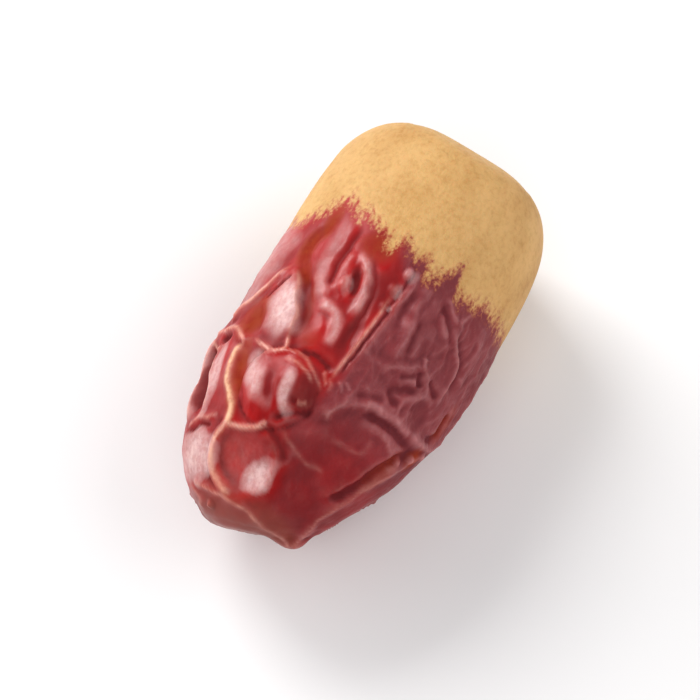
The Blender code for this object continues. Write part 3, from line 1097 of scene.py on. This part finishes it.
        # Painted shade from the shade swells, and wax with painted highlight from the others; the painted
        # shade drives out the wax and painted highlight
        relief.painted_shade = np.maximum(relief.painted_shade, highest(SHADE, blots, self.outline))
        relief.bloom_and_highlight = np.maximum(relief.bloom_and_highlight, highest(BLOOM_AND_HIGHLIGHT, blots, self.outline))
        relief.bloom_and_highlight *= 1 - np.clip(self.lost_to_painted_shade * relief.painted_shade, 0, 1)
        return relief

    def smoothed(self, mesh: bpy.types.Mesh, values: np.ndarray) -> np.ndarray:
        """Spread values over the mesh.

        Args:
            mesh: The mesh whose edges join the values.
            values: One value for each point.

        Returns:
            The values after each was averaged with its neighbours, round after round.
        """
        edges = np.empty(len(mesh.edges) * 2, np.int32)
        mesh.edges.foreach_get("vertices", edges)
        a, b = edges.reshape(-1, 2).T
        count = np.bincount(np.concatenate([a, b]), minlength=len(values)) + 1
        for _ in range(self.smoothing):
            total = np.bincount(a, values[b], len(values)) + np.bincount(b, values[a], len(values))
            values = (values + total) / count
        return values

    def mark(self, mesh: bpy.types.Mesh, mark: Mark, values: np.ndarray) -> None:
        """Write a share on the mesh's points."""
        layer = mesh.attributes.new(mark.value, "FLOAT", "POINT")
        layer.data.foreach_set("value", np.clip(values, 0, 1).astype(np.float32))

    def build(self) -> bpy.types.Object:
        """Model the skin.

        Returns:
            The finished piece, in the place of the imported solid.
        """
        ball = self.ball()
        unit = np.array([vert.co for vert in ball.verts])
        run = np.arccos(np.clip(-unit[:, 0], -1, 1)) / math.pi * self.outline.run[-1]
        angle = np.arctan2(-unit[:, 1], unit[:, 2])
        around = np.degrees(angle)
        place, facing = self.outline.at(run)
        place[:, 1] *= self.outline.recess_shape(run, around)
        along = place[:, 0]
        points = turned(place, angle)
        relief = self.relief(points, along, around)
        skin = points - sum(flat.press(points, self.outline) for flat in FLATS)
        skin += turned(facing, angle) * relief.height[:, None]
        skin[:, 1] += self.tip_swing * np.clip(1 - along / self.swing_from, 0, 1) ** 2
        skin[:, 0] -= self.tip_push * np.clip(1 - along / self.push_from, 0, 1)
        skin += (-self.middle[0], -self.middle[1], self.axis_height)
        skin[:, 2] = np.maximum(skin[:, 2], 0)
        for vert, spot in zip(ball.verts, skin):
            vert.co = Vector(spot) * MM
        bmesh.ops.recalc_face_normals(ball, faces=ball.faces)
        mesh = bpy.data.meshes.new("date_skin")
        ball.to_mesh(mesh)
        ball.free()
        mesh.shade_smooth()
        self.paint(mesh, points, along, around, run, relief)
        piece = bpy.data.objects.new("date_skin", mesh)
        bpy.context.scene.collection.objects.link(piece)
        return piece

    def paint(
        self,
        mesh: bpy.types.Mesh,
        points: np.ndarray,
        along: np.ndarray,
        around: np.ndarray,
        run: np.ndarray,
        relief: Relief,
    ) -> None:
        """Write the shares that the finish reads.

        Args:
            mesh: The skin's mesh.
            points: The points on the turned form.
            along: How far each is along the axis.
            around: Its angle round the axis.
            run: How far it is along the outline.
            relief: Its relief.
        """
        stands_out = relief.height - self.smoothed(mesh, relief.height)
        tan = self.tan_end.share(points, along, around)
        dusk = self.dust.share(along, around)
        # Painted highlight where the relief stands out above its smoothed self, stronger on dusty skin
        glossy_highlight, dusty_highlight = self.highlight_shares
        crest = stands_out / self.highlight_height * (glossy_highlight + dusty_highlight * dusk)
        # Painted shade where the relief sinks below its smoothed self, stronger on dusty skin
        glossy_painted_shade, dusty_painted_shade = self.painted_shade_shares
        painted_shade = -stands_out / self.painted_shade_depth * (glossy_painted_shade + dusty_painted_shade * dusk)
        rim = self.outline.run[self.outline.rim]
        in_recess = fade(run, rim + self.recess_fade[0], rim + self.recess_fade[1])
        core = 1 - fade(np.hypot(points[:, 1], points[:, 2]), *self.fibre_fade)
        self.mark(mesh, Mark.TAN, tan)
        self.mark(mesh, Mark.BLOOM_AND_HIGHLIGHT, relief.bloom_and_highlight)
        self.mark(mesh, Mark.PAINTED_HIGHLIGHT, np.maximum(relief.crest, crest))
        self.mark(mesh, Mark.CREAM, relief.cream)
        self.mark(mesh, Mark.PAINTED_SHADE, np.maximum(relief.painted_shade, painted_shade))
        self.mark(mesh, Mark.DUSK, dusk)
        self.mark(mesh, Mark.AMBER, highest(AMBER, points, self.outline))
        self.mark(mesh, Mark.EARTH, 1 - fade(along, *self.earth_fade))
        self.mark(mesh, Mark.FIBRE, in_recess * (self.fibre_round + (1 - self.fibre_round) * core))
        self.mark(mesh, Mark.SHEEN, (1 - tan) * (1 - self.dull_by_dust * dusk))

    def dress(self, piece: bpy.types.Object, finish: SkinFinish) -> None:
        """Give the piece its finish and say what it stands for.

        Args:
            piece: The skin.
            finish: Its finish.
        """
        piece.data.materials.append(finish.material())
        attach(piece, "root")
        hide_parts(self.node)


@dataclass(frozen=True)
class Grain:
    """Noise over the skin.

    size is that of its largest blots in millimetres, detail how many finer layers it has, and stretch how
    many times finer it is along each axis. Its numbers from start to end become those from low to high.
    """

    size: float
    detail: float
    stretch: Spot = (1, 1, 1)
    start: float = 0.0
    end: float = 1.0
    low: float = 0.0
    high: float = 1.0


@dataclass
class NodeDesk:
    """A material's nodes, with short calls that add one and join it up."""

    tree: bpy.types.NodeTree
    grain_roughness: float = 0.6
    grain_middle: float = 0.5

    def add(self, kind: str, **settings: object) -> bpy.types.Node:
        """Add a node.

        Args:
            kind: The node's type.
            settings: Its properties, by name.

        Returns:
            The node.
        """
        node = self.tree.nodes.new(kind)
        for name, value in settings.items():
            setattr(node, name, value)
        return node

    def feed(self, socket: bpy.types.NodeSocket, value: object) -> None:
        """Join a socket to another, or set its value.

        Args:
            socket: The socket to feed.
            value: The other socket, or the value.
        """
        if isinstance(value, bpy.types.NodeSocket):
            self.tree.links.new(value, socket)
        else:
            socket.default_value = value

    def share(self, mark: Mark) -> bpy.types.NodeSocket:
        """Read a share painted on the points."""
        return self.add("ShaderNodeAttribute", attribute_name=mark.value).outputs["Fac"]

    def grain(self, grain: Grain) -> bpy.types.NodeSocket:
        """Make a grain's plain noise on the object's own coordinates.

        Args:
            grain: Its size, detail and stretch.

        Returns:
            The noise, from 0 to 1.
        """
        mapping = self.add("ShaderNodeMapping")
        self.feed(mapping.inputs["Vector"], self.add("ShaderNodeTexCoord").outputs["Object"])
        mapping.inputs["Scale"].default_value = grain.stretch
        texture = self.add("ShaderNodeTexNoise")
        self.feed(texture.inputs["Vector"], mapping.outputs["Vector"])
        texture.inputs["Scale"].default_value = 1 / (grain.size * MM)
        texture.inputs["Detail"].default_value = grain.detail
        texture.inputs["Roughness"].default_value = self.grain_roughness
        return texture.outputs["Fac"]

    def blots(self, grain: Grain) -> bpy.types.NodeSocket:
        """Make a grain's noise and turn its numbers into those from low to high."""
        return self.span(self.grain(grain), grain.start, grain.end, grain.low, grain.high)

    def swing(self, grain: Grain, amount: float) -> bpy.types.NodeSocket:
        """Make a grain's noise swing about 0 by an amount."""
        return self.times(self.plus(self.grain(grain), -self.grain_middle), amount)

    def span(
        self, value: object, start: float, end: float, low: float = 0.0, high: float = 1.0
    ) -> bpy.types.NodeSocket:
        """Turn some numbers smoothly into others.

        Args:
            value: The numbers to read.
            start: The one that becomes low.
            end: The one that becomes high.
            low: The lowest result.
            high: The highest.

        Returns:
            The new numbers.
        """
        node = self.add("ShaderNodeMapRange", interpolation_type="SMOOTHSTEP")
        names = ("Value", "From Min", "From Max", "To Min", "To Max")
        for name, number in zip(names, (value, start, end, low, high)):
            self.feed(node.inputs[name], number)
        return node.outputs["Result"]

    def reckon(self, operation: str, a: object, b: object) -> bpy.types.NodeSocket:
        """Work out one number from two.

        Args:
            operation: What to do with them.
            a: A number or a socket.
            b: Another.

        Returns:
            The result.
        """
        node = self.add("ShaderNodeMath", operation=operation)
        self.feed(node.inputs[0], a)
        self.feed(node.inputs[1], b)
        return node.outputs["Value"]

    def times(self, a: object, b: object) -> bpy.types.NodeSocket:
        """Multiply two numbers."""
        return self.reckon("MULTIPLY", a, b)

    def plus(self, a: object, b: object) -> bpy.types.NodeSocket:
        """Add two numbers."""
        return self.reckon("ADD", a, b)

    def blend(self, share: object, a: object, b: object) -> bpy.types.NodeSocket:
        """Mix two colours.

        Args:
            share: How much of b there is.
            a: A colour.
            b: Another.

        Returns:
            The mixed colour.
        """
        node = self.add("ShaderNodeMix", data_type="RGBA")
        self.feed(node.inputs["Factor"], share)
        for name, colour in (("A", a), ("B", b)):
            socket = [s for s in node.inputs if s.name == name and s.type == "RGBA"][0]
            self.feed(socket, colour if isinstance(colour, bpy.types.NodeSocket) else (*colour, 1.0))
        return [s for s in node.outputs if s.type == "RGBA"][0]

    def blend_number(self, share: object, a: object, b: object) -> bpy.types.NodeSocket:
        """Mix two numbers.

        Args:
            share: How much of b there is.
            a: A number.
            b: Another.

        Returns:
            The mixed number.
        """
        node = self.add("ShaderNodeMix", data_type="FLOAT")
        self.feed(node.inputs["Factor"], share)
        self.feed(node.inputs[2], a)
        self.feed(node.inputs[3], b)
        return node.outputs[0]


@dataclass(frozen=True)
class SkinFinish:
    """The date's finish: thin glossy red skin, dusty mauve on one side, and a dry tan stem end."""

    red: Colour = (0.42, 0.009, 0.010)
    # The deep colours are also the painted shade in pits and creases
    deep_red: Colour = (0.13, 0.0015, 0.003)
    mauve: Colour = (0.26, 0.04, 0.046)
    deep_mauve: Colour = (0.11, 0.014, 0.02)
    amber: Colour = (0.32, 0.045, 0.010)
    # Painted highlight on crests, pink on glossy skin and mauve on dusty skin
    pale: Colour = (0.80, 0.42, 0.33)
    pale_mauve: Colour = (0.56, 0.24, 0.24)
    cream: Colour = (0.86, 0.53, 0.33)
    # The pink of wax on the skin, and of painted highlights on blisters, folds and the dish
    bloom_and_highlight: Colour = (0.72, 0.49, 0.47)
    earth: Colour = (0.27, 0.08, 0.06)
    tan: Colour = (0.67, 0.41, 0.17)
    deep_tan: Colour = (0.45, 0.225, 0.06)
    scorched: Colour = (0.42, 0.11, 0.05)
    fibre: Colour = (0.16, 0.055, 0.025)
    # The grain of the colours, and how deep it goes in each
    blots: Grain = Grain(5.0, 4.0, (0.6, 1, 1), 0.35, 0.7)
    specks: Grain = Grain(0.5, 3.0, (1, 1, 1), 0.4, 0.75)
    # Patches that break up the amber, the painted highlight and the cream
    patchy: Grain = Grain(0.9, 3.0, (1, 1, 1), 0.35, 0.6, 0.5, 0.85)
    mottles: Grain = Grain(0.5, 3.0, (0.8, 1, 1), 0.3, 0.7, 0.65, 1.0)
    fibres: Grain = Grain(0.7, 3.0, (0.25, 1, 1), 0.3, 0.65, 0.55, 1.0)
    red_blots: float = 0.55
    mauve_blots: float = 0.4
    tan_blots: float = 0.5
    tan_specks: float = 0.35
    # How strongly painted shade darkens pits and creases, on red and on mauve skin
    red_painted_shade: float = 0.85
    mauve_painted_shade: float = 0.6
    earthy: float = 0.75
    # The ragged edge of the tan, with a scorched line in it
    streaks: Grain = Grain(1.3, 2.0, (0.35, 1, 1))
    streaked: float = 1.2
    speckles: Grain = Grain(0.34, 2.0, (0.8, 1, 1))
    speckled: float = 1.5
    whole_tan: float = 0.75
    ragged_from: float = 0.2
    scorched_span: tuple[float, float, float, float] = (0.05, 0.55, 0.0, 0.7)
    tan_span: Pair = (0.2, 0.95)
    # How rough the skin is
    gloss: float = 0.3
    waxy: float = 0.33
    dusty: float = 0.42
    dry: float = 0.62
    smudges: Grain = Grain(1.2, 3.0)
    smudged: float = 0.12
    hollows_rougher: float = 0.4
    refraction: float = 1.4
    # The finest grain, which is raised
    pores: Grain = Grain(0.28, 3.0)
    creases: Grain = Grain(0.55, 4.0, (0.45, 1.3, 1.3))
    crease_share: float = 0.8
    bump_reach: float = 0.12
    bump_strength: float = 0.6
    bump_on_gloss: float = 0.08
    # How much light goes under the skin, how far each of its colours goes, and how deep
    glow: float = 0.15
    glow_colours: Colour = (1.0, 0.2, 0.1)
    glow_depth: float = 0.5

    def tan_colour(self, desk: NodeDesk, blots: bpy.types.NodeSocket) -> bpy.types.NodeSocket:
        """Mix the stem end's colour, deeper in the skin's large blots and in its own specks."""
        specks = desk.times(desk.blots(self.specks), self.tan_specks)
        return desk.blend(desk.plus(desk.times(blots, self.tan_blots), specks), self.tan, self.deep_tan)

    def ragged(self, desk: NodeDesk) -> bpy.types.NodeSocket:
        """Break up the edge of the tan.

        Args:
            desk: The material's nodes.

        Returns:
            How tan each place is, with streaks and speckles in the edge.
        """
        tan = desk.share(Mark.TAN)
        streaks = desk.swing(self.streaks, self.streaked)
        broken = desk.plus(streaks, desk.swing(self.speckles, self.speckled))
        broken = desk.times(broken, desk.span(tan, self.whole_tan, 1.0, 1.0, 0.0))
        return desk.plus(tan, desk.times(broken, desk.span(tan, 0.0, self.ragged_from)))

    def colour(self, desk: NodeDesk) -> bpy.types.NodeSocket:
        """Mix the skin's colour.

        Args:
            desk: The material's nodes.

        Returns:
            The colour.
        """
        blots = desk.blots(self.blots)
        dusk = desk.share(Mark.DUSK)
        red = desk.blend(desk.times(blots, self.red_blots), self.red, self.deep_red)
        mauve = desk.blend(desk.times(blots, self.mauve_blots), self.mauve, self.deep_mauve)
        body = desk.blend(dusk, red, mauve)
        # Painted shade in pits and creases, deep red on glossy skin and deep mauve on dusty skin
        painted_shade = desk.blend(dusk, self.deep_red, self.deep_mauve)
        depth = desk.blend_number(dusk, self.red_painted_shade, self.mauve_painted_shade)
        body = desk.blend(desk.times(desk.share(Mark.PAINTED_SHADE), depth), body, painted_shade)
        patchy = desk.blots(self.patchy)
        body = desk.blend(desk.times(desk.share(Mark.AMBER), patchy), body, self.amber)
        body = desk.blend(desk.times(desk.share(Mark.EARTH), self.earthy), body, self.earth)
        # Wax, and painted highlight on blisters, folds and the dish
        body = desk.blend(desk.times(desk.share(Mark.BLOOM_AND_HIGHLIGHT), desk.blots(self.mottles)), body, self.bloom_and_highlight)
        # Painted highlight along crests
        crest = desk.blend(dusk, self.pale, self.pale_mauve)
        body = desk.blend(desk.times(desk.share(Mark.PAINTED_HIGHLIGHT), patchy), body, crest)
        body = desk.blend(desk.times(desk.share(Mark.CREAM), patchy), body, self.cream)
        edge = self.ragged(desk)
        body = desk.blend(desk.span(edge, *self.scorched_span), body, self.scorched)
        body = desk.blend(desk.span(edge, *self.tan_span), body, self.tan_colour(desk, blots))
        return desk.blend(desk.times(desk.share(Mark.FIBRE), desk.blots(self.fibres)), body, self.fibre)

    def roughness(self, desk: NodeDesk) -> bpy.types.NodeSocket:
        """Mix the skin's roughness.

        Args:
            desk: The material's nodes.

        Returns:
            The roughness.
        """
        body = desk.blend_number(desk.share(Mark.DUSK), self.gloss, self.dusty)
        body = desk.blend_number(desk.share(Mark.BLOOM_AND_HIGHLIGHT), body, self.waxy)
        body = desk.plus(body, desk.swing(self.smudges, self.smudged))
        for mark in (Mark.PAINTED_SHADE, Mark.AMBER):
            body = desk.plus(body, desk.times(desk.share(mark), self.hollows_rougher))
        return desk.blend_number(desk.share(Mark.TAN), body, self.dry)

    def bumps(self, desk: NodeDesk) -> bpy.types.NodeSocket:
        """Raise the skin's finest grain.

        Args:
            desk: The material's nodes.

        Returns:
            The direction that the skin faces.
        """
        creases = desk.times(desk.grain(self.creases), self.crease_share)
        amount = desk.blend_number(desk.share(Mark.SHEEN), 1.0, self.bump_on_gloss)
        node = desk.add("ShaderNodeBump")
        node.inputs["Distance"].default_value = self.bump_reach * MM
        desk.feed(node.inputs["Strength"], desk.times(amount, self.bump_strength))
        desk.feed(node.inputs["Height"], desk.plus(desk.grain(self.pores), creases))
        return node.outputs["Normal"]

    def material(self) -> bpy.types.Material:
        """Make the material.

        Returns:
            The material, ready for the skin.
        """
        material = bpy.data.materials.new("date_skin")
        material.use_nodes = True
        desk = NodeDesk(material.node_tree)
        shader = material.node_tree.nodes["Principled BSDF"]
        desk.feed(shader.inputs["Base Color"], self.colour(desk))
        desk.feed(shader.inputs["Roughness"], self.roughness(desk))
        desk.feed(shader.inputs["Normal"], self.bumps(desk))
        shader.inputs["Subsurface Weight"].default_value = self.glow
        shader.inputs["Subsurface Radius"].default_value = self.glow_colours
        shader.inputs["Subsurface Scale"].default_value = self.glow_depth * MM
        shader.inputs["IOR"].default_value = self.refraction
        return material


@dataclass(frozen=True)
class SoftLight:
    """A soft light that faces the date: its name, its place and size in metres, and its power in watts."""

    name: str
    place: Spot
    size: Pair
    power: float

    def hang(self, aim: Vector) -> bpy.types.Object:
        """Hang the light.

        Args:
            aim: The point that it faces.

        Returns:
            The light.
        """
        light = bpy.data.lights.new(self.name, "AREA")
        light.shape = "RECTANGLE"
        light.size, light.size_y = self.size
        light.energy = self.power
        lamp = bpy.data.objects.new(self.name, light)
        lamp.location = self.place
        lamp.rotation_euler = (Vector(self.place) - aim).to_track_quat("Z", "Y").to_euler()
        bpy.context.scene.collection.objects.link(lamp)
        return lamp


@dataclass
class Studio:
    """A pale floor, soft light and the camera."""

    floor_size: float = 3.0
    floor_colour: Colour = (0.88, 0.865, 0.86)
    floor_roughness: float = 0.8
    sky_colour: Colour = (0.95, 0.97, 1.0)
    sky_strength: float = 0.3
    azimuth: float = -61.2
    elevation: float = 66.0
    lens: float = 220.0
    sensor: float = 36.0
    distance: float = 0.365
    aim: Spot = (-0.00002, 0.00042, 0.01028)
    lights: tuple[SoftLight, ...] = (
        SoftLight("softbox", (0.13, 0.28, 0.31), (0.20, 0.18), 0.88),
        SoftLight("side_wall", (0.02, 0.42, 0.15), (0.50, 0.18), 0.85),
        SoftLight("right_wall", (0.20, -0.36, 0.32), (0.50, 0.50), 1.05),
        SoftLight("front_wall", (-0.34, -0.12, 0.38), (0.40, 0.50), 0.75),
    )

    def back(self) -> Vector:
        """The direction from the date to the camera."""
        turn, rise = math.radians(self.azimuth), math.radians(self.elevation)
        return Vector((math.sin(turn) * math.cos(rise), -math.cos(turn) * math.cos(rise), math.sin(rise)))

    def floor(self) -> bpy.types.Object:
        """Lay the floor.

        Returns:
            The floor.
        """
        sheet = bmesh.new()
        bmesh.ops.create_grid(sheet, x_segments=1, y_segments=1, size=self.floor_size / 2)
        mesh = bpy.data.meshes.new("floor")
        sheet.to_mesh(mesh)
        sheet.free()
        material = bpy.data.materials.new("floor")
        material.use_nodes = True
        shader = material.node_tree.nodes["Principled BSDF"]
        shader.inputs["Base Color"].default_value = (*self.floor_colour, 1.0)
        shader.inputs["Roughness"].default_value = self.floor_roughness
        mesh.materials.append(material)
        floor = bpy.data.objects.new("floor", mesh)
        bpy.context.scene.collection.objects.link(floor)
        return floor

    def sky(self) -> bpy.types.World:
        """Light the date a little from all round.

        Returns:
            The world.
        """
        world = bpy.data.worlds.new("world")
        world.use_nodes = True
        background = world.node_tree.nodes["Background"]
        background.inputs["Color"].default_value = (*self.sky_colour, 1.0)
        background.inputs["Strength"].default_value = self.sky_strength
        bpy.context.scene.world = world
        return world

    def camera(self) -> bpy.types.Object:
        """Set up the camera at the photograph's viewing angle.

        Returns:
            The camera.
        """
        data = bpy.data.cameras.new("camera")
        data.lens = self.lens
        data.sensor_width = self.sensor
        camera = bpy.data.objects.new("camera", data)
        camera.location = Vector(self.aim) + self.back() * self.distance
        camera.rotation_euler = self.back().to_track_quat("Z", "Y").to_euler()
        bpy.context.scene.collection.objects.link(camera)
        bpy.context.scene.camera = camera
        return camera

    def build(self) -> None:
        """Set up the floor, the lights, the world and the camera."""
        self.floor()
        for light in self.lights:
            light.hang(Vector(self.aim))
        self.sky()
        bpy.context.scene.view_settings.view_transform = "Standard"
        bpy.context.scene.view_settings.look = "Medium High Contrast"
        self.camera()


def main() -> None:
    """Build the date and its studio."""
    logging.basicConfig(level=logging.INFO, format="%(name)s: %(message)s")
    studio = Studio()
    studio.build()
    LOG.info("studio: %d lights", len(studio.lights))
    skin = DateSkin()
    piece = skin.build()
    skin.dress(piece, SkinFinish())
    LOG.info("%s: %d faces", piece.name, len(piece.data.polygons))


if __name__ == "__main__":
    main()
